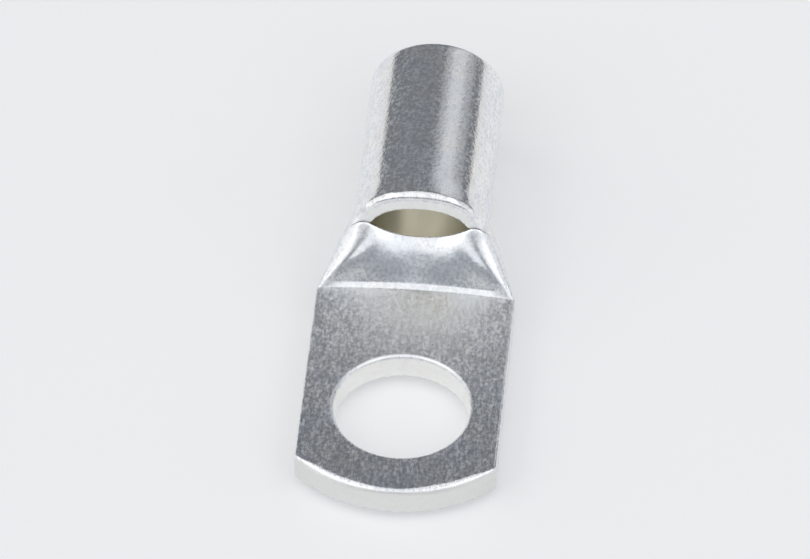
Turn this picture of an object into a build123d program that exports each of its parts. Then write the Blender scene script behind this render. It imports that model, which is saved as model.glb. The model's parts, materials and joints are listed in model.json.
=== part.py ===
from build123d import *
from math import cos, radians, sin
import os

# A cable lug of tinned copper for a 25 mm2 conductor and an M8 stud: one length of seamless tube,
# pressed flat at one end, pierced for the stud, and slit across the top where the tube starts.
# Millimetres. +X runs from the stud hole to the barrel's mouth, +Z is up, off the flat of the palm,
# and the origin is the centre of the stud hole on the palm's underside.

# Palm, the flattened end
palm_thick = 1.9
palm_width = 12.4
stud_hole_diameter = 8.4
front_corner_reach = 4.7
front_radius = 9.0
crease_reach = 9.6
crease_bow = 0.35
crease_step = 0.15

# Barrel, the round end
tube_outer_diameter = 8.5
tube_wall = 0.9
barrel_drop = 0.5
mouth_reach = 25.8

# Neck, from the crease to the round tube, with the sight hole's lip between the two
lip_setback = 2.7
round_setback = 5.2
sunk = 0.04

# Half of the neck's section at the lip: the dished facet, the ridge beside it, the flank below
dish_height = 4.4
dish_rise = 0.45
dish_half_width = 2.2
ridge_height = 5.4
ridge_half_width = 3.15
shoulder_height = 4.85
shoulder_half_width = 4.3
flank_height = 2.2
flank_half_width = 5.25
foot_height = -0.2
foot_half_width = 3.6
ridge_start = 0.25

# Hollow of the neck
roof_thick = 1.35
roof_rise = 0.95
cavity_setback = 0.9
slit_height = 0.1

# Angles up from the horizontal at which the flank runs out on the round tube
shoulder_angle = radians(15)
flank_angle = radians(-22)
foot_angle = radians(-62)

# Edge rounding
front_edge_round = 0.3
palm_edge_round = 0.18
hole_edge_break = 0.12
mouth_outer_break = 0.2
mouth_inner_break = 0.15
lip_edge_round = 0.16

# Places worked out from those sizes
tube_radius = tube_outer_diameter / 2
bore_radius = tube_radius - tube_wall
axis_height = tube_radius - barrel_drop
half_width = palm_width / 2
front_centre_x = (front_radius**2 - half_width**2) ** 0.5 - front_corner_reach
front_apex_x = front_centre_x - front_radius
crease_height = palm_thick + crease_step
lip_x = crease_reach + lip_setback
round_x = crease_reach + round_setback


def mirrored(point):
    """The same point on the other side of the lug."""
    return (-point[0], point[1])


def on_tube(radius, angle):
    """The point of a circle round the barrel's axis at an angle up from the horizontal."""
    return (radius * cos(angle), axis_height + radius * sin(angle))


# Edges of the neck's right half, each as the two or three points that its line or arc runs through
run_out_angles = [shoulder_angle, flank_angle, foot_angle]
shoulder = (shoulder_half_width, shoulder_height)
lip_ridge = [(dish_half_width, dish_height + dish_rise), (ridge_half_width, ridge_height), shoulder]
lip_flank = [shoulder, (flank_half_width, flank_height), (foot_half_width, foot_height)]
outer_run_out = [on_tube(tube_radius - sunk, angle) for angle in run_out_angles]
inner_side = (flank_half_width - tube_wall, flank_height)
inner_foot = (foot_half_width - tube_wall / 2, foot_height + tube_wall)
inner_flank = [(shoulder_half_width - tube_wall, shoulder_height), inner_side, inner_foot]
inner_run_out = [on_tube(bore_radius - sunk, angle) for angle in run_out_angles]
roof_end = (shoulder_half_width - tube_wall, dish_height - roof_thick + roof_rise)
cavity_flank = [roof_end, inner_side, inner_foot]
ridge_foot = (half_width, crease_height - ridge_start)
crease_ridge = [(half_width - ridge_start, crease_height), ridge_foot]
crease_side = [ridge_foot, (half_width, 0)]
slit_low = (palm_thick - slit_height) / 2
slit_side = [(half_width - tube_wall, slit_low + slit_height), (half_width - tube_wall, slit_low)]


def run(*points):
    """The line through two points, or the arc through three."""
    if len(points) == 2:
        Line(*points)
    else:
        ThreePointArc(*points)


def neck_section(x, crest, *right_edges):
    """A section across the neck: its top through the crest, its right side, and the left alike.

    The edges of the right side run from the end of the top down to the flat underside.
    """
    top_end = right_edges[0][0]
    foot = right_edges[-1][-1]
    with BuildSketch(Plane.YZ.offset(x)) as section:
        with BuildLine():
            run(mirrored(top_end), *crest, top_end)
            for edge in right_edges:
                run(*edge)
            run(foot, mirrored(foot))
            for edge in reversed(right_edges):
                run(*[mirrored(point) for point in reversed(edge)])
        make_face()
    return section.sketch


with BuildPart() as cable_lug:
    # Palm: straight sides, square corners and a front edge cut to an arc
    with BuildSketch():
        with BuildLine():
            front = ThreePointArc(
                (-front_corner_reach, half_width),
                (front_apex_x, 0),
                (-front_corner_reach, -half_width),
            )
            Polyline(front @ 1, (crease_reach, -half_width), (crease_reach, half_width), front @ 0)
        make_face()
    extrude(amount=palm_thick)
    fillet(cable_lug.edges().filter_by(GeomType.CIRCLE).sort_by(Axis.Z)[-1], front_edge_round)
    fillet(cable_lug.edges().filter_by(GeomType.CIRCLE).sort_by(Axis.Z)[0], palm_edge_round)
    fillet(cable_lug.edges().filter_by(Axis.X), palm_edge_round)

    # Barrel, from the sight hole's lip to a mouth cut square
    with BuildSketch(Plane.YZ.offset(lip_x)):
        with Locations((0, axis_height)):
            Circle(tube_radius)
    extrude(amount=mouth_reach - lip_x)

    # Neck behind the lip: the flattened tube's bulging flanks run out on the round barrel
    loft([neck_section(lip_x, [], lip_flank), neck_section(round_x, [], outer_run_out)], ruled=True)

    # Bore, with the same flanks inside, one wall in from the outside
    with BuildSketch(Plane.YZ.offset(lip_x)):
        with Locations((0, axis_height)):
            Circle(bore_radius)
    extrude(amount=mouth_reach - lip_x, mode=Mode.SUBTRACT)
    hollow_sections = [
        neck_section(lip_x, [], inner_flank), neck_section(round_x, [], inner_run_out)
    ]
    loft(hollow_sections, ruled=True, mode=Mode.SUBTRACT)

    # Neck in front of the lip: a dished facet between two ridges that widen from the crease up
    palm_end = neck_section(crease_reach, [], crease_ridge, crease_side)
    loft([palm_end, neck_section(lip_x, [(0, dish_height)], lip_ridge, lip_flank)], ruled=True)

    # The hollow narrows to a closed slit between the palm's two layers
    slit_end = neck_section(crease_reach + cavity_setback, [], slit_side)
    cavity_end = neck_section(lip_x, [(0, dish_height - roof_thick)], cavity_flank)
    loft([slit_end, cavity_end], ruled=True, mode=Mode.SUBTRACT)

    # Press mark: the flat die leaves a small bowed step where the palm meets the neck
    with BuildSketch(Plane.XY.offset(palm_thick)):
        with BuildLine():
            bow = ThreePointArc(
                (crease_reach, -half_width), (crease_reach + crease_bow, 0), (crease_reach, half_width)
            )
            Polyline(bow @ 1, (0, half_width), (0, -half_width), bow @ 0)
        make_face()
    extrude(amount=tube_outer_diameter, mode=Mode.SUBTRACT)

    # Stud hole, its punched edges broken
    with Locations((0, 0, palm_thick)):
        Hole(stud_hole_diameter / 2)
    hole_rims = cable_lug.edges().filter_by(GeomType.CIRCLE)
    hole_rims = hole_rims.filter_by(lambda edge: abs(edge.radius - stud_hole_diameter / 2) < 0.001)
    chamfer(hole_rims, hole_edge_break)

    # Mouth and lip, their cut edges broken
    lip_rims = cable_lug.edges().filter_by_position(Axis.X, lip_x - 0.001, lip_x + 0.001)
    fillet(lip_rims.sort_by(Axis.Z)[-1], lip_edge_round)
    mouth_rims = cable_lug.faces().sort_by(Axis.X)[-1].edges().sort_by(SortBy.RADIUS)
    chamfer(mouth_rims[-1], mouth_outer_break)
    chamfer(cable_lug.faces().sort_by(Axis.X)[-1].edges().sort_by(SortBy.RADIUS)[0], mouth_inner_break)

cable_lug.part.label = "cable_lug"
os.makedirs("parts", exist_ok=True)
export_step(cable_lug.part, "parts/cable_lug.step")
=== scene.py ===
import json
from dataclasses import dataclass
from math import cos, pi, radians, sin

import bmesh
import bpy
import numpy as np
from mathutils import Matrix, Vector


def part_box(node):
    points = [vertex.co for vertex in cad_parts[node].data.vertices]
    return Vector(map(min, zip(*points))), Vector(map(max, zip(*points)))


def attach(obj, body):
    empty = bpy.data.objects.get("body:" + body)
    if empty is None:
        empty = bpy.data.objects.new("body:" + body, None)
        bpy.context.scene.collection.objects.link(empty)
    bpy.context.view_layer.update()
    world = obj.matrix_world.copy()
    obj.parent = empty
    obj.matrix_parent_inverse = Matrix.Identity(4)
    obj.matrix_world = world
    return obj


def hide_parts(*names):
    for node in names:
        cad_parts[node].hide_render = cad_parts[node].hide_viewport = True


# A tinned copper cable lug, dressed: the pressed neck with its ridges and sight hole, the drawn barrel
# and the punched palm as one welded surface, worked out in millimetres and written in metres.
# +X runs from the stud hole to the barrel's mouth, and +Z is up, off the flat of the palm.
# The surface is made of grids of points. The rows of the neck and the tube are sections across the lug,
# and their columns run round from the middle of the belly, up the right side (+Y), over the top and down
# the left. The rows of the palm run in to the stud hole, and their columns run round it.

MM = 0.001

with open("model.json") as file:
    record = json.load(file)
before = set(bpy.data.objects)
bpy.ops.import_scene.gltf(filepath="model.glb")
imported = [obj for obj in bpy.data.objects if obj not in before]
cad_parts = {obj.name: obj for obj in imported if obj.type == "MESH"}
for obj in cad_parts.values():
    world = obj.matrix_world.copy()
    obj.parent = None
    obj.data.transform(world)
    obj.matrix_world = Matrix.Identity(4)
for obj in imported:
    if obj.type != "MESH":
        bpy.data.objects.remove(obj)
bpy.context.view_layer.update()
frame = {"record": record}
low, high = [np.array(corner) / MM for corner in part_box("cable_lug")]
mounts = {mount["name"]: mount["dims"] for mount in frame["record"]["mounts"]}

# Sizes that the frame gives
HALF_WIDTH = high[1]
FRONT_X = low[0]
MOUTH_X = high[0]
FLOOR_Z = low[2]
TUBE_RADIUS = (high[2] - low[2]) / 2
AXIS_Z = (high[2] + low[2]) / 2
BORE_RADIUS = mounts["barrel_bore"]["r_mm"]
LIP_X = MOUTH_X - mounts["barrel_bore"]["length_mm"]
HOLE_RADIUS = mounts["stud_hole"]["r_mm"]
PALM_THICK = mounts["stud_hole"]["length_mm"]
WALL = TUBE_RADIUS - BORE_RADIUS

# Palm: straight sides and a front cut to an arc
FRONT_RADIUS = 9.0
FRONT_CENTRE_X = FRONT_X + FRONT_RADIUS
FRONT_CORNER_X = FRONT_CENTRE_X - (FRONT_RADIUS**2 - HALF_WIDTH**2) ** 0.5
SIDE_ROUND = 0.18
HOLE_ROUND = 0.26

# The punch rolled the top edge more along the front, between the middle and the corners. The roll grows
# from a place along the palm and from the sides, each over a run, and is only a share in the middle.
FRONT_ROUND = 0.5
ROLL_X = -4.2
ROLL_RUN = 1.2
CORNER_RUN = 1.4
MIDDLE_ROLL = 0.5
MIDDLE_RUN = 3.0

# Crease: how far it lies before the lip, and how far it bows
LIP_SETBACK = 2.7
CREASE_X = LIP_X - LIP_SETBACK
CREASE_BOW = 0.35

# Facet at the lip: a dish whose height grows as a power of the distance from the middle, the ridge beside
# it, from the slit's end up over the crest, and the passes that soften the two
DISH_Z = 4.4
DISH_RISE = 0.98
DISH_POWER = 2.4
DISH_HALF = 3.15
RIDGE_POINTS = [(4.3, 4.95), (3.95, 5.26), (3.75, 5.37), (3.35, 5.44)]
RIDGE_PASSES = 5

# Neck from the crease to the lip: where the ridge starts at the palm's corner, how its crest sweeps in,
# and how far the flank lags behind the facet
RIDGE_START = 0.32
RIDGE_SWEEP = 1.3
FLANK_LAG = 0.1

# How steep the facet is along its length: the die's soft mark at the crease, the straight, the rolled
# edge. The roll starts sooner at the sides than in the middle, and the change from one to the other ends
# at ROLL_SPREAD from the middle. The slopes are summed in SLOPE_STEPS steps.
MIDDLE_SLOPES = [(0, 0.4), (0.1, 0.4), (0.15, 1), (0.62, 1), (1, 0.3)]
SIDE_SLOPES = [(0, 0.4), (0.1, 0.4), (0.15, 1), (0.3, 1), (0.5, 0.72), (1, 0.3)]
ROLL_SPREAD = 1.8
SLOPE_STEPS = 400

# Pressed tube at the lip, by degrees up from the horizontal about the barrel's axis: the flank's swell
# and its reach each way, the belly's lift and its reach, the flank's foot, the slit's end and the reach
# of the crown. The tube is round again at RUN_OUT behind the lip.
FLANK_BULGE = 1.22
FLANK_ANGLE = -25
FLANK_REACH_UP = 55
FLANK_REACH_DOWN = 62
BELLY_LIFT = 0.25
BELLY_REACH = 40
FOOT_ANGLE = -47
SLIT_ANGLE = 12
CROWN_REACH = 30
RUN_OUT = 2.5

# Slit and mouth: the saw's width before the lip, and the rounding of the cut edges. The finish of the
# mouth's cut face fades out within a part of its rounding, and that of the punched walls stops a little
# below the top face.
KERF = 0.05
FACET_ROUND = 0.14
MOUTH_ROUND = 0.3
MOUTH_INNER_ROUND = 0.15
MOUTH_FADE = MOUTH_ROUND / 4
PUNCHED_TOP = PALM_THICK - 0.4 * HOLE_ROUND

# Hollow of the neck: how far behind the crease it ends in a flat slot, the slot's half width and height,
# and how early the hollow narrows
CAVITY_SETBACK = 0.9
SLOT_X = CREASE_X + CAVITY_SETBACK
SLOT_HALF = 5.3
SLOT_HEIGHT = 0.1
HOLLOW_EASE = 0.6

# Columns round half a section: under the belly, up the flank, over the ridge, across the facet. The
# slit's share, the pressed top's and the facet's each grow over a few columns.
RIDGE_STEPS = 14
FACET_STEPS = 16
BELLY_STEPS = RIDGE_STEPS + FACET_STEPS
ROUND_STEPS = 5
WALL_STEPS = 6
FLANK_STEPS = 2 * ROUND_STEPS + WALL_STEPS
HALF_STEPS = BELLY_STEPS + FLANK_STEPS + RIDGE_STEPS + FACET_STEPS
SLIT_START = BELLY_STEPS + FLANK_STEPS
SLIT_END = 2 * HALF_STEPS - SLIT_START
SLIT_FADE = 6
TOP_FADE = RIDGE_STEPS / 2
FACET_FADE = 5

# The angle of each column of the right half, up from the horizontal about the barrel's axis
ANGLES = np.radians(np.concatenate([
    np.linspace(-90, FOOT_ANGLE, BELLY_STEPS + 1),
    np.linspace(FOOT_ANGLE, SLIT_ANGLE, FLANK_STEPS + 1)[1:],
    np.linspace(SLIT_ANGLE, 90, RIDGE_STEPS + FACET_STEPS + 1)[1:],
]))

# Rows along the tube, and along the neck and across the palm as shares of the way: close together over
# the die's mark and beside each edge, where the shading turns
RUN_OUT_ROWS = 13
BARREL_ROWS = 11
BARREL_END = MOUTH_X - 0.5
CREASE_SHARES = [0, 0.012, 0.05, 0.085, 0.1, 0.11, 0.12, 0.13, 0.14, 0.15, 0.165]
NECK_SHARE = 0.2
NECK_ROWS = 18
HOLLOW_ROWS = 13
SLIT_FACE_ROWS = 7
FACE_SHARES = np.concatenate([[0, 0.012], np.linspace(0.06, 0.94, 14), [0.985, 1]])
HOLE_WALL_STEPS = 4

# Columns round the palm's edge: along a side, and round the front
SIDE_COLUMNS = 30
FRONT_COLUMNS = 44
RIM_COLUMNS = 2 * SIDE_COLUMNS + FRONT_COLUMNS + 1

# Mesh: how near, in metres, two points are one, how many degrees an edge turns before it stays sharp,
# and the slack, in millimetres, of a test by place
WELD = 0.000001
SHARP_ANGLE = 38
SLACK = 0.01

# Shades of the tin: two of the bare coat, then what mottle, speckle, the press and the drawing make of
# it, a paler shade painted on the palm as light, the hollow's warm tint and the shade painted into its
# sides, those of the cut faces, and the painted shade of the punched front's cut face
BARE_SHADES = ((0.985, 0.967, 0.938), (0.93, 0.958, 1.0))
MOTTLE_SHADE = (0.74, 0.76, 0.8)
SPECKLE_SHADE = (0.66, 0.675, 0.7)
PRESSED_SHADE = (0.86, 0.88, 0.91)
DRAWN_SHADE = (0.56, 0.58, 0.62)
PAINTED_LIGHT_SHADE = (0.95, 0.955, 0.945)
HOLLOW_TINT_AND_PAINTED_SHADE = ((0.88, 0.845, 0.73), (0.5, 0.48, 0.4))
CUT_SHADES = ((0.99, 0.988, 0.97), (0.95, 0.945, 0.92))
FRONT_CUT_PAINTED_SHADE = (0.81, 0.81, 0.793)

# Grains of the tin: how many to the metre, how much detail, how each is drawn out along the lug, and how
# strong the detail is
SPECKLE = (4300, 2, (1, 1, 1))
MOTTLE = (1900, 3, (0.6, 1, 1))
CLOUD = (420, 3, (1, 1, 1))
DRAW_LINES = (6600, 2, (0.34, 1, 1))
GRAIN_DETAIL = 0.6

# How a grain or the patch of painted light becomes colour: where its ramp starts and ends, and its shares
# there. The press has one share all over the facet.
CLOUD_TINT = (0.35, 0.65, 0, 1)
MOTTLE_TINT = (0.42, 0.7, 0, 0.6)
SPECKLE_TINT = (0.46, 0.66, 0, 0.75)
DRAWN_TINT = (0.48, 0.68, 0, 0.75)
PAINTED_LIGHT_TINT = (0.35, 1, 0, 0.75)
CUT_TINT = (0.3, 0.7, 0, 1)
PRESSED_TINT = 0.35

# Roughness, by grain in the same way, and by place: what each place adds, and how much of the speckle's
# own it keeps
CLOUD_ROUGH = (0.3, 0.7, 0.09, 0.14)
SPECKLE_ROUGH = (0.34, 0.55, 0.21, 0)
DRAWN_ROUGH = (0.54, 0.34, 0, 0.14)
FACET_ROUGH = (0.02, 0.16)
RUBBED_ROUGH = 0.25
CUT_ROUGH = 0.24
INSIDE_ROUGH = 0.2
PALM_KEEPS = 0.7
FACET_KEEPS = 0.25

# Tooth: the strength and the depth of the speckle and of the palm's mottle, and how much of the
# speckle's tooth is left inside and on the facet
SPECKLE_TOOTH = (0.3, 0.03)
MOTTLE_TOOTH = (0.5, 0.04)
INSIDE_TOOTH = 0.3
FACET_TOOTH = 0.5

# Places of the finish: the palm's runs out just past the crease, and the facet's ends at the lip and
# grows duller up to it. The rubbed patch grows along the palm and is rougher there; a paler shade,
# painted on it as light, fades to its sides. The hollow's painted shade is deep near the slit, to both
# sides of an unshaded middle. The painted shade of the punched front's cut face ends just behind the
# corners.
CREASE_BLEND = 1.0
LIP_BLEND = 0.1
DULLED_X = CREASE_X + 0.8
RUBBED_PAINTED_LIGHT_X = (-8.0, 7.5)
PAINTED_LIGHT_Y = (3.0, 6.2)
PAINTED_LIGHT_SIDE = 0.3
PAINTED_SHADE_X = (17.0, 20.0)
PAINTED_SHADE_Y = (1.2, 2.8)
FRONT_BLEND = 0.4

# Floor: two shades of a dull pale sheet and how many clouds of them it has across, the white that is
# mixed in where it is seen and its share, the sheet's half size in metres, and its gap under the lug in
# millimetres
FLOOR_SHADES = ((0.945, 0.95, 0.955), (0.96, 0.965, 0.97))
FLOOR_CLOUD = 40
FLOOR_ROUGH = 0.7
FLOOR_SPECULAR = 0.2
FLOOR_WHITE = (0.99, 0.995, 1)
FLOOR_LIFT = 0.3
FLOOR_HALF = 3.0
FLOOR_GAP = 0.01

# Camera: the photograph's direction and height, its distance in metres, its lens drawn in on this one
# lug, and how near and how far it sees, in metres
LOOK_AT = Vector((9.72, 0.67, 3.0)) * MM
VIEW_AZIMUTH = radians(-84.94)
VIEW_ELEVATION = radians(46.2)
VIEW_DISTANCE = 0.5719
PHOTO_WIDTH = 810
FOCAL_PIXELS = 3285.5
DRAWN_IN = 2.8
SENSOR = 36.0
CLIP_START = 0.01
CLIP_END = 10

# Room: the walls before and behind the lug and where they blend, by the X of a direction, and the pale
# sweep that the floor runs on into, by how far the direction is off the level
NEAR_WALL = (0.345, 0.365, 0.395)
FAR_WALL = (0.215, 0.225, 0.242)
WALL_BLEND = (-0.5, 0.4)
SWEEP = (1.0, 0.99, 0.95)
SWEEP_BLEND = (0.1, 0.03)

# Lamps: name, elevation and azimuth in degrees, distance, width and height in metres, radiance, tint
PLAIN = (1, 1, 1)
LAMPS = [
    ("top_light", 68, 180, 0.9, 1.7, 1.45, 0.67, PLAIN),
    ("left_light", 32, 100, 0.9, 1.3, 1.0, 0.68, (1, 0.99, 0.96)),
    ("right_light", 32, -100, 0.9, 1.25, 0.95, 0.5, PLAIN),
    ("strip_light", 36, -30, 0.9, 0.2, 0.6, 0.26, PLAIN),
    ("strip_glow", 36, -30, 0.92, 0.42, 0.7, 0.2, PLAIN),
]


@dataclass
class Skin:
    """One side of the tube's wall, and its form at the lip.

    Its crown there is a superellipse of a power, sunk by a drop. The lip's rounding is positive where
    it curls in towards the axis, and negative where it curls out.
    """

    radius: float
    crown_power: float
    crown_drop: float
    lip_round: float


OUTSIDE = Skin(TUBE_RADIUS, crown_power=2.3, crown_drop=0.2, lip_round=0.45)
INSIDE = Skin(BORE_RADIUS, crown_power=2.0, crown_drop=0.48, lip_round=-0.08)


def smooth_step(value):
    """0 below 0, 1 above 1, and 3v^2 - 2v^3 between them."""
    v = np.clip(value, 0, 1)
    return v * v * (3 - 2 * v)


# How many columns each column of a whole section lies inside the slit, and from that its share of the
# slit's length, of the pressed top and of the facet between the ridges
COLUMN = np.arange(2 * HALF_STEPS)
SLIT_DEPTH = np.minimum(COLUMN - SLIT_START, SLIT_END - COLUMN)
IN_SLIT = smooth_step(SLIT_DEPTH / SLIT_FADE)
ON_TOP = smooth_step(SLIT_DEPTH / TOP_FADE)
ON_FACET = smooth_step((SLIT_DEPTH - RIDGE_STEPS + 1) / FACET_FADE)


def straight(start, end, steps):
    """Points evenly spaced on the line from start to end, both ends included."""
    share = np.linspace(0, 1, steps + 1)[:, None]
    return np.array(start) * (1 - share) + np.array(end) * share


def even_steps(corners, steps):
    """Points evenly spaced by length along the line that runs straight from corner to corner."""
    corners = np.array(corners)
    lengths = np.linalg.norm(np.diff(corners, axis=0), axis=1)
    along = np.concatenate([[0], np.cumsum(lengths)])
    wanted = np.linspace(0, along[-1], steps + 1)
    return np.stack([np.interp(wanted, along, corners[:, axis]) for axis in (0, 1)], axis=1)


def softened(points, passes):
    """Each pass moves every point but the ends halfway to the middle of its two neighbours."""
    points = points.copy()
    for _ in range(passes):
        points[1:-1] = points[1:-1] / 2 + (points[:-2] + points[2:]) / 4
    return points


def whole_loop(half):
    """A closed section from its right half, bottom centre first: the half, then its mirror image."""
    left = half[-2:0:-1] * np.array([-1, 1])
    return np.concatenate([half, left])


def with_x(x, loop):
    """Section points (y, z) made points (x, y, z)."""
    return np.stack([np.broadcast_to(x, loop.shape[:1]), loop[:, 0], loop[:, 1]], axis=1)


def quarter_round(start, end):
    """Steps of a quarter round between two turns, each as shares of its radius.

    The first share is how far it has left the face that it starts on, 1 - cos(turn), and the second
    is how far it still is from the face that it ends on, 1 - sin(turn).
    """
    turn = np.linspace(start, end, ROUND_STEPS + 1)
    return list(zip(1 - np.cos(turn), 1 - np.sin(turn)))


def quarter_steps(radius):
    """Distances from an edge at which a quarter round's rows lie: the radius times 1 - cos(turn)."""
    return radius * (1 - np.cos(np.linspace(0, pi / 2, ROUND_STEPS + 1)))


def curled(distance, radius):
    """How far a quarter round has dropped at a distance from the edge that it ends on.

    The radius times 1 - the root of 1 - u^2, where u falls from 1 at the edge to 0 a radius away.
    """
    away = np.clip(1 - distance / abs(radius), 0, 1)
    return radius * (1 - np.sqrt(1 - away**2))


def flank_swell(angles):
    """How far the pressed tube stands out of the round one at each angle, in millimetres.

    A squared cosine centred below the horizontal, less a squared cosine about straight down.
    """
    off_peak = np.degrees(angles) - FLANK_ANGLE
    reach = np.where(off_peak > 0, FLANK_REACH_UP, FLANK_REACH_DOWN)
    swell = np.cos(np.clip(off_peak / reach, -1, 1) * pi / 2) ** 2
    off_belly = np.clip((np.degrees(angles) + 90) / BELLY_REACH, 0, 1)
    return FLANK_BULGE * swell - BELLY_LIFT * np.cos(off_belly * pi / 2) ** 2


def tube_half(skin, pressed):
    """The right half of the tube's section: a circle plus the pressed share of the flank's swell.

    Over the slit the circle turns into a superellipse by the same share, and its crown sinks by a
    drop that grows with the squared sine of the angle, so the lip is flatter and lower.
    """
    above = ANGLES > 0
    c, s = np.abs(np.cos(ANGLES)), np.abs(np.sin(ANGLES))
    past_slit = smooth_step((np.degrees(ANGLES) - SLIT_ANGLE) / CROWN_REACH)
    power = 2 + (skin.crown_power - 2) * pressed * past_slit
    fuller = np.where(above, (c**power + s**power) ** (-1 / power), 1)
    sunk = np.where(above, pressed * skin.crown_drop / skin.radius * s * s, 0)
    r = (skin.radius + pressed * flank_swell(ANGLES)) * fuller
    return np.stack([r * np.cos(ANGLES), AXIS_Z + r * (1 - sunk) * np.sin(ANGLES)], axis=1)


def tube_stations(lip_round, end):
    """Places along the tube: over the lip's rounding, then evenly over the run-out and the barrel."""
    lip = LIP_X + quarter_steps(lip_round)
    run_out = np.linspace(LIP_X + lip_round, LIP_X + RUN_OUT, RUN_OUT_ROWS + 1)[1:]
    barrel = np.linspace(LIP_X + RUN_OUT, end, BARREL_ROWS + 1)[1:]
    return np.concatenate([lip, run_out, barrel])


def tube_rows(skin, stations):
    """One skin of the tube from the lip back: sections pressed at the lip that run out on the round tube.

    The pressed share falls from 1 at the lip as 1 - (u + u^2 - u^3), which ends flat on the barrel.
    Over the slit the first rows curl by a quarter round.
    """
    rows = []
    for x in stations:
        u = np.clip((x - LIP_X) / RUN_OUT, 0, 1)
        loop = whole_loop(tube_half(skin, 1 - (u + u * u - u**3)))
        spoke = loop - np.array([0, AXIS_Z])
        spoke = spoke / np.linalg.norm(spoke, axis=1)[:, None]
        curl = curled(x - LIP_X, skin.lip_round) * IN_SLIT
        rows.append(with_x(x, loop - spoke * curl[:, None]))
    return np.array(rows)


def mouth_rows():
    """The barrel's end: over its outer rounding, across the cut face and over its inner rounding.

    Each row is a circle round the axis, its radius and its place along the barrel off a quarter round.
    """
    circle = whole_loop(np.stack([np.cos(ANGLES), np.sin(ANGLES)], axis=1))
    profile = []
    for inward, back in quarter_round(0, pi / 2):
        profile.append((MOUTH_X - MOUTH_ROUND * back, TUBE_RADIUS - MOUTH_ROUND * inward))
    for outward, back in quarter_round(pi / 2, 0):
        profile.append((MOUTH_X - MOUTH_INNER_ROUND * back, BORE_RADIUS + MOUTH_INNER_ROUND * outward))
    return np.array([with_x(x, circle * radius + np.array([0, AXIS_Z])) for x, radius in profile])


def ridged_top():
    """The facet's section at the lip, from the slit's end over the ridge to the middle of the dish.

    The ridge runs straight from point to point, and the dish rises from its middle by a power of the
    share of its half width. Both are then softened together, with the dish's other side.
    """
    slit_end = tube_half(OUTSIDE, 1)[SLIT_START]
    ridge_foot = (DISH_HALF, DISH_Z + DISH_RISE)
    ridge = even_steps([slit_end, *RIDGE_POINTS, ridge_foot], RIDGE_STEPS)
    y = np.linspace(DISH_HALF, 0, FACET_STEPS + 1)[1:]
    dish = np.stack([y, DISH_Z + DISH_RISE * (y / DISH_HALF) ** DISH_POWER], axis=1)
    far_side = dish[-2:0:-1] * np.array([-1, 1])
    top = softened(np.concatenate([ridge, dish, far_side]), RIDGE_PASSES)
    return top[: RIDGE_STEPS + FACET_STEPS + 1]


def corner(centre, radius, start_angle, end_angle):
    """A quarter round in the section's plane: the centre plus the radius times (cos, sin) of the turn."""
    turn = np.radians(np.linspace(start_angle, end_angle, ROUND_STEPS + 1))[:, None]
    return np.array(centre) + radius * np.concatenate([np.cos(turn), np.sin(turn)], axis=1)


def crease_half():
    """The palm's own section at the crease: flat belly, rounded side, and the flat top."""
    inner = HALF_WIDTH - SIDE_ROUND
    top = PALM_THICK
    belly = straight((0, 0), (inner, 0), BELLY_STEPS)
    under = corner((inner, SIDE_ROUND), SIDE_ROUND, -90, 0)
    wall = straight((HALF_WIDTH, SIDE_ROUND), (HALF_WIDTH, top - SIDE_ROUND), WALL_STEPS)
    over = corner((inner, top - SIDE_ROUND), SIDE_ROUND, 0, 90)
    ridge = straight((inner, top), (inner - RIDGE_START, top), RIDGE_STEPS)
    facet = straight((inner - RIDGE_START, top), (0, top), FACET_STEPS)
    return np.concatenate([belly, under[1:], wall[1:], over[1:], ridge[1:], facet[1:]])


def slot_half():
    """The flat slot that the hollow narrows to, in the middle of the palm's thickness."""
    low_z, high_z = (PALM_THICK - SLOT_HEIGHT) / 2, (PALM_THICK + SLOT_HEIGHT) / 2
    belly = straight((0, low_z), (SLOT_HALF, low_z), BELLY_STEPS)
    side = straight((SLOT_HALF, low_z), (SLOT_HALF, high_z), FLANK_STEPS)
    top = straight((SLOT_HALF, high_z), (0, high_z), RIDGE_STEPS + FACET_STEPS)
    return np.concatenate([belly, side[1:], top[1:]])


def facet_rise(s, slopes):
    """The share of its height that the facet has reached at the share s of its length.

    The slopes are joined by straight lines, summed by trapezia and divided by their total.
    """
    fine = np.linspace(0, 1, SLOPE_STEPS + 1)
    slope = np.interp(fine, *zip(*slopes))
    risen = np.concatenate([[0], np.cumsum((slope[1:] + slope[:-1]) / 2)])
    return np.interp(s, fine, risen / risen[-1])


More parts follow.
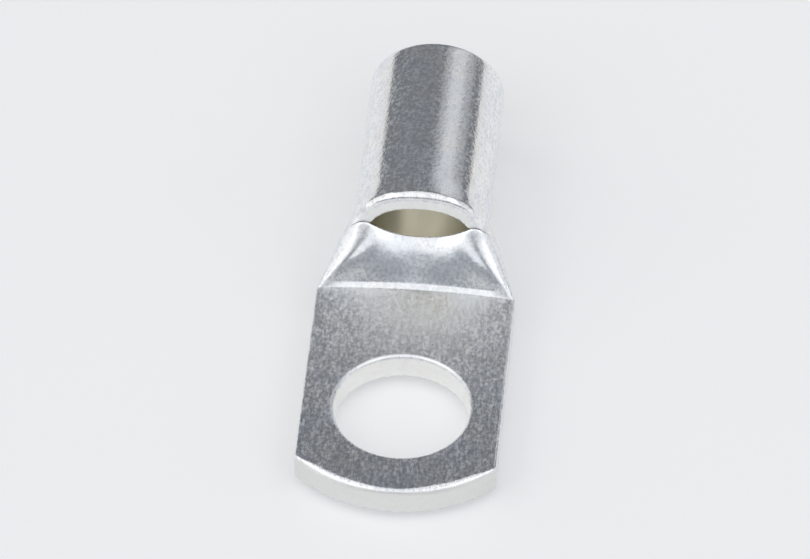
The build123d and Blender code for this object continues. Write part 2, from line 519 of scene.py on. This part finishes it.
def neck_front():
    """The skin from the palm's crease up to the lip, its end curled in over the slit.

    Each point runs from its place at the crease to its place at the lip by the share s. Over the facet
    its height follows facet_rise, and on the flanks it lags by a share of s - s^2. The ridges' crests
    sweep in from the crease's corners by a power of the sine of s quarter turns. The crease bows as
    1 - (y / half width)^2.
    """
    crease = whole_loop(crease_half())
    flank = tube_half(OUTSIDE, 1)[:SLIT_START]
    lip = whole_loop(np.concatenate([flank, ridged_top()]))
    to_side = smooth_step(np.abs(lip[:, 0]) / ROLL_SPREAD)
    bow = CREASE_BOW * (1 - (crease[:, 0] / HALF_WIDTH) ** 2) * (ON_TOP > 0)
    length = LIP_X - CREASE_X
    edge_share = FACET_ROUND / length
    neck_shares = np.linspace(NECK_SHARE, 1 - edge_share, NECK_ROWS)[:-1]
    edge_shares = 1 - quarter_steps(edge_share)[::-1]
    rows = []
    for s in np.concatenate([CREASE_SHARES, neck_shares, edge_shares]):
        lagging = s - FLANK_LAG * (s - s * s)
        side = lagging * (1 - ON_TOP) + s * ON_TOP
        facet = facet_rise(s, MIDDLE_SLOPES) * (1 - to_side) + facet_rise(s, SIDE_SLOPES) * to_side
        upward = side * (1 - ON_FACET) + facet * ON_FACET
        inward = s * (1 - ON_TOP) + sin(s * pi / 2) ** RIDGE_SWEEP * ON_TOP
        x = CREASE_X + length * s + bow * (1 - s) - KERF * IN_SLIT * s
        y = crease[:, 0] * (1 - inward) + lip[:, 0] * inward
        z = crease[:, 1] * (1 - upward) + lip[:, 1] * upward
        curl = curled((1 - s) * length, FACET_ROUND) * IN_SLIT
        rows.append(np.stack([x, y, z - curl], axis=1))
    return np.array(rows)


def neck_hollow(front_end):
    """The hollow in front of the lip: the skin one wall in, which narrows to the flat slot.

    Its share of the way to the slot is a mix of s and 1 - (1 - s)^2, so it narrows more at first.
    """
    outer = front_end[:, 1:]
    tube_inner = whole_loop(tube_half(INSIDE, 1))
    facing = np.stack([np.where(outer[:, 0] > 0, 1, -1), np.ones(len(outer))], axis=1)
    at_slit_end = (tube_inner - outer)[SLIT_START] * facing
    over = ON_TOP[:, None]
    top = outer + np.array([0, -WALL]) * over + at_slit_end * (1 - over)
    lip = np.where((SLIT_DEPTH > 0)[:, None], top, tube_inner)
    slot = whole_loop(slot_half())
    rows = []
    for s in np.linspace(0, 1, HOLLOW_ROWS):
        narrowed = (1 - HOLLOW_EASE) * s + HOLLOW_EASE * s * (2 - s)
        x = front_end[:, 0] * (1 - s) + SLOT_X * s
        rows.append(with_x(x, lip * (1 - narrowed) + slot * narrowed))
    return np.array(rows)


def palm_edge(inset):
    """The palm's outline without its crease side, drawn in by an inset that may differ by column.

    Straight sides at half the width, and a front arc round a centre on the middle line.
    """
    side_share = np.linspace(0, 1, SIDE_COLUMNS + 1)
    side_y = HALF_WIDTH - inset[: SIDE_COLUMNS + 1]
    corner_y = HALF_WIDTH - inset[SIDE_COLUMNS]
    corner_r = FRONT_RADIUS - inset[SIDE_COLUMNS]
    corner_x = FRONT_CENTRE_X - np.sqrt(corner_r**2 - corner_y**2)
    side_x = CREASE_X * (1 - side_share) + corner_x * side_share
    reach = np.arcsin(corner_y / corner_r)
    turn = np.linspace(reach, -reach, FRONT_COLUMNS + 1)[1:-1]
    radius = FRONT_RADIUS - inset[SIDE_COLUMNS + 1 : SIDE_COLUMNS + FRONT_COLUMNS]
    front = np.stack([FRONT_CENTRE_X - radius * np.cos(turn), radius * np.sin(turn)], axis=1)
    side = np.stack([side_x, side_y], axis=1)
    return np.concatenate([side, front, (side * np.array([1, -1]))[::-1]])


def rim_rounding(outline):
    """The rounding of the palm's top edge by column: the sides' own, and the front's wider roll.

    The roll grows by a smooth step past the corner, by one in from the side and by one off the middle.
    """
    y = np.abs(outline[:, 1])
    past_corner = smooth_step((ROLL_X - outline[:, 0]) / ROLL_RUN)
    off_side = smooth_step((HALF_WIDTH - y) / CORNER_RUN)
    off_middle = MIDDLE_ROLL + (1 - MIDDLE_ROLL) * smooth_step(y / MIDDLE_RUN)
    return SIDE_ROUND + (FRONT_ROUND - SIDE_ROUND) * past_corner * off_side * off_middle


def rim_ring(inset, z):
    """The palm's outline drawn in by an inset, at a height, each one value or one for each column."""
    inset, z = np.broadcast_to(inset, RIM_COLUMNS), np.broadcast_to(z, RIM_COLUMNS)
    return np.concatenate([palm_edge(inset), z[:, None]], axis=1)


def hole_ring(radius, z, angles):
    """A circle round the stud hole's axis at a radius and a height, at the given angles."""
    return np.stack([radius * np.cos(angles), radius * np.sin(angles), np.full(len(angles), z)], axis=1)


def face_rows(rim, z, angles):
    """Rows on a flat face, carried straight from its rim in to the hole's broken edge by their shares."""
    edge = hole_ring(HOLE_RADIUS + HOLE_ROUND, z, angles)
    return [rim * (1 - share) + edge * share for share in FACE_SHARES]


def hole_rows(angles):
    """The hole's wall from the top down, its two edges broken by quarter rounds."""
    profile = []
    for outward, down in quarter_round(pi / 2, 0)[1:]:
        profile.append((HOLE_RADIUS + HOLE_ROUND * outward, PALM_THICK - HOLE_ROUND * down))
    for z in np.linspace(PALM_THICK - HOLE_ROUND, HOLE_ROUND, HOLE_WALL_STEPS + 1)[1:-1]:
        profile.append((HOLE_RADIUS, z))
    for outward, up in quarter_round(0, pi / 2)[:-1]:
        profile.append((HOLE_RADIUS + HOLE_ROUND * outward, HOLE_ROUND * up))
    return [hole_ring(radius, z, angles) for radius, z in profile]


def through_rows(top_rim, under_rim, angles):
    """Rows from a rim on the top face in to the hole, down its wall and out to the underside's rim."""
    under_face = face_rows(under_rim, 0, angles)[::-1]
    return face_rows(top_rim, PALM_THICK, angles) + hole_rows(angles) + under_face


def palm_rows(crease_row, belly_row):
    """The palm as rings round the stud hole, from the crease side's top row to its underside row.

    Returns two grids: the whole rim beside and before the hole, and the part between the hole and
    the crease, which has no side wall.
    """
    outline = palm_edge(np.zeros(RIM_COLUMNS))
    top_round = rim_rounding(outline)
    wall_height = PALM_THICK - top_round - SIDE_ROUND
    wall = []
    for share in np.linspace(0, 1, WALL_STEPS + 1):
        wall.append(rim_ring(0, SIDE_ROUND + wall_height * share))
    over = []
    for inward, down in quarter_round(0, pi / 2)[1:]:
        over.append(rim_ring(top_round * inward, PALM_THICK - top_round * down))
    under = []
    for inward, up in quarter_round(pi / 2, 0)[:-1]:
        under.append(rim_ring(SIDE_ROUND * inward, SIDE_ROUND * up))
    rim_angles = np.arctan2(outline[:, 1], outline[:, 0]) % (2 * pi)
    rim_rows = wall + over[:-1] + through_rows(over[-1], under[0], rim_angles) + under[1:]
    crease_angles = np.linspace(-rim_angles[0], rim_angles[0], len(crease_row))
    return np.array(rim_rows), np.array(through_rows(crease_row, belly_row, crease_angles))


def sheared(points):
    """1 on the punched front edge and the hole's wall, 0 on flats, sides and roundings, by place."""
    x, y, z = points[..., 0], points[..., 1], points[..., 2]
    on_wall = (z > SIDE_ROUND - SLACK) & (z < PUNCHED_TOP)
    in_hole = np.hypot(x, y) < HOLE_RADIUS + SLACK
    at_front = x < FRONT_CORNER_X + SLACK
    return (on_wall & (in_hole | at_front)).astype(float)


class Surface:
    """Grids of points gathered into one mesh, each point marked as in the hollow and as on a cut."""

    def __init__(self):
        self.points = []
        self.faces = []
        self.marks = {"inside": [], "cut": []}
        self.count = 0

    def take(self, points, shape, inside, cut):
        """Keep a run of points and their two marks."""
        self.points.append(points.reshape(-1, 3))
        for name, value in (("inside", inside), ("cut", cut)):
            self.marks[name].append(np.broadcast_to(value, shape).astype(np.float32).ravel())
        self.count += len(self.points[-1])

    def add(self, grid, closed, inside=0.0, cut=0.0):
        """Join neighbouring points of a (rows, columns, 3) grid, round the columns too if closed."""
        rows, columns = grid.shape[:2]
        index = np.arange(rows * columns).reshape(rows, columns) + self.count
        if closed:
            index = np.concatenate([index, index[:, :1]], axis=1)
        quads = np.stack([index[:-1, :-1], index[:-1, 1:], index[1:, 1:], index[1:, :-1]], axis=2)
        self.faces += quads.reshape(-1, 4).tolist()
        self.take(grid, (rows, columns), inside, cut)

    def cap(self, loop, inside=0.0):
        """One flat face on a loop of points."""
        self.faces.append(list(range(self.count, self.count + len(loop))))
        self.take(loop, len(loop), inside, 0.0)

    def piece(self, name):
        """The welded object, its faces outwards, smooth but for its true corners."""
        mesh = bpy.data.meshes.new(name)
        mesh.from_pydata((np.concatenate(self.points) * MM).tolist(), [], self.faces)
        for mark, values in self.marks.items():
            mesh.attributes.new(mark, "FLOAT", "POINT").data.foreach_set("value", np.concatenate(values))
        work = bmesh.new()
        work.from_mesh(mesh)
        bmesh.ops.remove_doubles(work, verts=work.verts, dist=WELD)
        bmesh.ops.recalc_face_normals(work, faces=work.faces)
        work.to_mesh(mesh)
        work.free()
        mesh.polygons.foreach_set("use_smooth", np.ones(len(mesh.polygons), dtype=bool))
        mesh.set_sharp_from_angle(angle=radians(SHARP_ANGLE))
        obj = bpy.data.objects.new(name, mesh)
        bpy.context.scene.collection.objects.link(obj)
        return obj


def lug_surface():
    """The whole lug: palm, neck, tube, mouth and hollow, each a grid that shares its edges."""
    surface = Surface()

    # Tube, outside and inside. The outside's last two rows lie close together, so that the barrel's
    # shading stays straight up to the mouth's rounding.
    outer_stations = np.append(tube_stations(OUTSIDE.lip_round, BARREL_END), MOUTH_X - MOUTH_ROUND)
    outer = tube_rows(OUTSIDE, outer_stations)
    inner = tube_rows(INSIDE, tube_stations(-INSIDE.lip_round, MOUTH_X - MOUTH_INNER_ROUND))
    surface.add(outer, True)
    surface.add(inner, True, inside=1.0)

    # Mouth
    mouth = mouth_rows()
    mouth_cut = np.clip(1 - (MOUTH_X - mouth[:, 0, 0]) / MOUTH_FADE, 0, 1)
    surface.add(mouth, True, cut=mouth_cut[:, None])

    # Neck in front of the slit, and its hollow
    front = neck_front()
    hollow = neck_hollow(front[-1])
    surface.add(front, True)
    surface.add(hollow, True, inside=1.0)
    surface.cap(hollow[-1], inside=1.0)

    # The slit's two cut faces
    slit = slice(SLIT_START, SLIT_END + 1)
    shares = np.linspace(0, 1, SLIT_FACE_ROWS)[:, None, None]
    surface.add(outer[0, slit] * (1 - shares) + inner[0, slit] * shares, False, cut=1.0)
    surface.add(front[-1, slit] * (1 - shares) + hollow[0, slit] * shares, False, cut=1.0)

    # Palm
    belly = np.concatenate([front[0, BELLY_STEPS::-1], front[0, -1 : -BELLY_STEPS - 1 : -1]])
    rim, window = palm_rows(front[0, slit][::-1], belly[::-1])
    rim = np.swapaxes(rim, 0, 1)
    surface.add(rim, True, cut=sheared(rim))
    surface.add(window, False, cut=sheared(window))
    return surface.piece("lug_body")


class Tree:
    """A node tree, with a short call for each kind of node that the finishes and the room need.

    Each value given to a call is a number, a colour, a vector or the output of another node.
    """

    def __init__(self, tree):
        self.nodes = tree.nodes
        self.links = tree.links

    def feed(self, socket, value):
        """Link an output to an input, or set a plain value on it."""
        if isinstance(value, bpy.types.NodeSocket):
            self.links.new(value, socket)
        elif socket.type == "RGBA":
            socket.default_value = (*value, 1)
        else:
            socket.default_value = value

    def node(self, kind, inputs, **settings):
        """A new node, its settings made before its inputs, which go by name or by number."""
        node = self.nodes.new("ShaderNode" + kind)
        for setting, value in settings.items():
            setattr(node, setting, value)
        for name, value in inputs.items():
            self.feed(node.inputs[name], value)
        return node

    def math(self, operation, *values):
        """A sum, product or the like."""
        return self.node("Math", dict(enumerate(values)), operation=operation).outputs["Value"]

    def product(self, *values):
        """All the values multiplied."""
        result = values[0]
        for value in values[1:]:
            result = self.math("MULTIPLY", result, value)
        return result

    def total(self, *values):
        """All the values added."""
        result = values[0]
        for value in values[1:]:
            result = self.math("ADD", result, value)
        return result

    def ranged(self, value, start, end, low_out=0.0, high_out=1.0, interpolation="LINEAR"):
        """The value carried from start and end to two others, and held beyond them."""
        inputs = {
            "Value": value,
            "From Min": start,
            "From Max": end,
            "To Min": low_out,
            "To Max": high_out,
        }
        return self.node("MapRange", inputs, interpolation_type=interpolation).outputs["Result"]

    def mixed(self, factor, first, second):
        """The first colour where the factor is 0, the second where it is 1."""
        inputs = {"Factor": factor, "A": first, "B": second}
        return self.node("Mix", inputs, data_type="RGBA").outputs["Result"]

    def parts(self, output):
        """The X, Y and Z of the texture coordinates of a kind."""
        coords = self.node("TexCoord", {}).outputs[output]
        return self.node("SeparateXYZ", {"Vector": coords}).outputs

    def grain(self, scale, detail, stretch):
        """Noise on the object's own coordinates, drawn out along an axis where its stretch is under 1."""
        coords = self.node("TexCoord", {}).outputs["Object"]
        vector = self.node("Mapping", {"Vector": coords, "Scale": stretch}).outputs["Vector"]
        inputs = {"Vector": vector, "Scale": scale, "Detail": detail, "Roughness": GRAIN_DETAIL}
        return self.node("TexNoise", inputs).outputs["Fac"]

    def marked(self, name):
        """A mark of the mesh's points."""
        return self.node("Attribute", {}, attribute_name=name).outputs["Fac"]

    def bump(self, height, strength, depth, normal=None):
        """A normal tilted by a height, of a depth in millimetres, on top of another bump if given."""
        inputs = {"Height": height, "Strength": strength, "Distance": depth * MM}
        if normal is not None:
            inputs["Normal"] = normal
        return self.node("Bump", inputs).outputs["Normal"]


def new_material(name):
    """A material, its node tree and its surface shader."""
    material = bpy.data.materials.new(name)
    material.use_nodes = True
    return material, Tree(material.node_tree), material.node_tree.nodes["Principled BSDF"]


def tinned_copper():
    """Bright tin over drawn copper: a grainy sheen, mottled on the palm, cream where it was cut."""
    material, tree, shader = new_material("bright_tin")
    place = tree.parts("Object")
    off_middle = tree.math("ABSOLUTE", place["Y"])
    inside, cut = tree.marked("inside"), tree.marked("cut")

    def along(start, end, low_out=0.0, high_out=1.0):
        """A ramp along the lug between two places in millimetres."""
        return tree.ranged(place["X"], start * MM, end * MM, low_out, high_out)

    def across(start, end, low_out=0.0, high_out=1.0):
        """A ramp from the middle line to both sides between two distances in millimetres."""
        return tree.ranged(off_middle, start * MM, end * MM, low_out, high_out)

    def fading(mask, left):
        """1 where the mask is 0, and what is left where it is 1."""
        return tree.ranged(mask, 0, 1, 1, left)

    past_crease = (CREASE_X, CREASE_X + CREASE_BLEND)
    on_palm = along(*past_crease, 1, 0)
    on_facet = tree.product(along(*past_crease), along(LIP_X, LIP_X + LIP_BLEND, 1, 0))
    # The rubbed patch: rougher, and painted paler as light, growing towards the crease
    rubbed_and_painted_light = tree.product(along(*RUBBED_PAINTED_LIGHT_X), on_palm)
    speckle = tree.grain(*SPECKLE)
    mottle = tree.grain(*MOTTLE)
    cloud = tree.grain(*CLOUD)
    draw_lines = tree.grain(*DRAW_LINES)

    # Colour of the skin, from the bare coat up
    tin = tree.mixed(tree.ranged(cloud, *CLOUD_TINT), *BARE_SHADES)
    tin = tree.mixed(tree.ranged(mottle, *MOTTLE_TINT), tin, MOTTLE_SHADE)
    tin = tree.mixed(tree.ranged(speckle, *SPECKLE_TINT), tin, SPECKLE_SHADE)
    tin = tree.mixed(tree.product(on_facet, PRESSED_TINT), tin, PRESSED_SHADE)
    tin = tree.mixed(tree.product(tree.ranged(draw_lines, *DRAWN_TINT), on_palm), tin, DRAWN_SHADE)
    # A paler patch painted on as light, strongest in the palm's middle towards the crease
    painted_light_patch = tree.product(tree.ranged(rubbed_and_painted_light, *PAINTED_LIGHT_TINT), across(*PAINTED_LIGHT_Y, 1, PAINTED_LIGHT_SIDE))
    tin = tree.mixed(painted_light_patch, tin, PAINTED_LIGHT_SHADE)

    # Colour of the hollow, with shade painted into its sides, and of the cut faces, with shade painted on
    # the punched front
    # Shade painted into the hollow's sides near the slit, fading out along the barrel
    painted_hollow_shade = tree.product(across(*PAINTED_SHADE_Y), along(*PAINTED_SHADE_X, 1, 0))
    tin = tree.mixed(inside, tin, tree.mixed(painted_hollow_shade, *HOLLOW_TINT_AND_PAINTED_SHADE))
    cut_tin = tree.mixed(tree.ranged(mottle, *CUT_TINT), *CUT_SHADES)
    # Shade painted on the punched front's cut face, ending just behind the corners
    at_front = along(FRONT_CORNER_X, FRONT_CORNER_X + FRONT_BLEND, 1, 0)
    cut_tin = tree.mixed(at_front, cut_tin, FRONT_CUT_PAINTED_SHADE)
    tree.feed(shader.inputs["Base Color"], tree.mixed(cut, tin, cut_tin))

    # Gloss
    speckled = tree.product(
        tree.ranged(speckle, *SPECKLE_ROUGH),
        fading(inside, 0),
        fading(on_palm, PALM_KEEPS),
        fading(on_facet, FACET_KEEPS),
    )
    rough = tree.total(
        tree.ranged(cloud, *CLOUD_ROUGH),
        speckled,
        tree.product(tree.ranged(draw_lines, *DRAWN_ROUGH), on_palm),
        tree.product(rubbed_and_painted_light, RUBBED_ROUGH),
        tree.product(on_facet, along(DULLED_X, LIP_X, *FACET_ROUGH)),
        tree.product(cut, CUT_ROUGH),
        tree.product(inside, INSIDE_ROUGH),
    )
    tree.feed(shader.inputs["Roughness"], rough)
    shader.inputs["Metallic"].default_value = 1.0

    # Tooth
    felt = tree.product(speckle, fading(inside, INSIDE_TOOTH), fading(on_facet, FACET_TOOTH))
    tooth = tree.bump(felt, *SPECKLE_TOOTH)
    tooth = tree.bump(tree.product(mottle, on_palm), *MOTTLE_TOOTH, tooth)
    tree.feed(shader.inputs["Normal"], tooth)
    return material


def pale_floor():
    """A wide pale sheet under the lug, very slightly clouded.

    Where it is seen, straight or in the metal, a share of plain white is mixed in, and it keeps the
    rest of the lug's shadow.
    """
    material, tree, shader = new_material("pale_sheet")
    cloud = tree.node("TexNoise", {"Scale": FLOOR_CLOUD}).outputs["Fac"]
    tree.feed(shader.inputs["Base Color"], tree.mixed(cloud, *FLOOR_SHADES))
    shader.inputs["Roughness"].default_value = FLOOR_ROUGH
    shader.inputs["Specular IOR Level"].default_value = FLOOR_SPECULAR
    path = tree.node("LightPath", {}).outputs
    seen = tree.math("MAXIMUM", path["Is Camera Ray"], path["Is Glossy Ray"])
    seen = tree.math("MAXIMUM", seen, path["Is Transmission Ray"])
    white = tree.node("Emission", {"Color": FLOOR_WHITE}).outputs["Emission"]
    blend = {0: tree.product(seen, FLOOR_LIFT), 1: shader.outputs["BSDF"], 2: white}
    lifted = tree.node("MixShader", blend).outputs["Shader"]
    tree.feed(tree.nodes["Material Output"].inputs["Surface"], lifted)

    half = FLOOR_HALF
    z = (FLOOR_Z - FLOOR_GAP) * MM
    corners = [(-half, -half, z), (half, -half, z), (half, half, z), (-half, half, z)]
    mesh = bpy.data.meshes.new("floor")
    mesh.from_pydata(corners, [], [(0, 1, 2, 3)])
    mesh.materials.append(material)
    floor = bpy.data.objects.new("floor", mesh)
    bpy.context.scene.collection.objects.link(floor)


def softbox(name, elevation, azimuth, distance, width, height, radiance, tint):
    """A rectangular lamp that faces the lug from a direction. Azimuth 0 is behind the mouth, 90 is +Y.

    Its power is the wanted radiance times pi times its area.
    """
    lamp = bpy.data.lights.new(name, "AREA")
    lamp.shape = "RECTANGLE"
    lamp.size = width
    lamp.size_y = height
    lamp.energy = radiance * pi * width * height
    lamp.color = tint
    obj = bpy.data.objects.new(name, lamp)
    e, a = radians(elevation), radians(azimuth)
    towards = Vector((cos(e) * cos(a), cos(e) * sin(a), sin(e)))
    obj.location = LOOK_AT + towards * distance
    obj.rotation_mode = "QUATERNION"
    obj.rotation_quaternion = towards.to_track_quat("Z", "Y")
    bpy.context.scene.collection.objects.link(obj)


def studio():
    """Soft light above and on both sides, a strip behind, and a room that is darker behind the lug.

    The floor runs on into a pale sweep, which the room's walls rise out of.
    """
    world = bpy.data.worlds.new("room")
    bpy.context.scene.world = world
    world.use_nodes = True
    tree = Tree(world.node_tree)
    direction = tree.parts("Generated")
    behind = tree.ranged(direction["X"], *WALL_BLEND, interpolation="SMOOTHSTEP")
    walls = tree.mixed(behind, NEAR_WALL, FAR_WALL)
    off_level = tree.math("ABSOLUTE", direction["Z"])
    low_down = tree.ranged(off_level, *SWEEP_BLEND, interpolation="SMOOTHSTEP")
    tree.feed(tree.nodes["Background"].inputs["Color"], tree.mixed(low_down, walls, SWEEP))
    for lamp in LAMPS:
        softbox(*lamp)


def camera():
    """The camera, looking from the palm's end down along the lug."""
    data = bpy.data.cameras.new("camera")
    data.sensor_width = SENSOR
    data.lens = FOCAL_PIXELS / PHOTO_WIDTH * SENSOR * DRAWN_IN
    data.clip_start = CLIP_START
    data.clip_end = CLIP_END
    obj = bpy.data.objects.new("camera", data)
    flat = cos(VIEW_ELEVATION)
    back = Vector((sin(VIEW_AZIMUTH) * flat, -cos(VIEW_AZIMUTH) * flat, sin(VIEW_ELEVATION)))
    obj.location = LOOK_AT + back * VIEW_DISTANCE
    obj.rotation_mode = "QUATERNION"
    obj.rotation_quaternion = (-back).to_track_quat("-Z", "Y")
    bpy.context.scene.collection.objects.link(obj)
    bpy.context.scene.camera = obj


camera()
studio()
pale_floor()
lug = lug_surface()
lug.data.materials.append(tinned_copper())
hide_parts("cable_lug")
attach(lug, "root")
bpy.context.scene.view_settings.view_transform = "Standard"
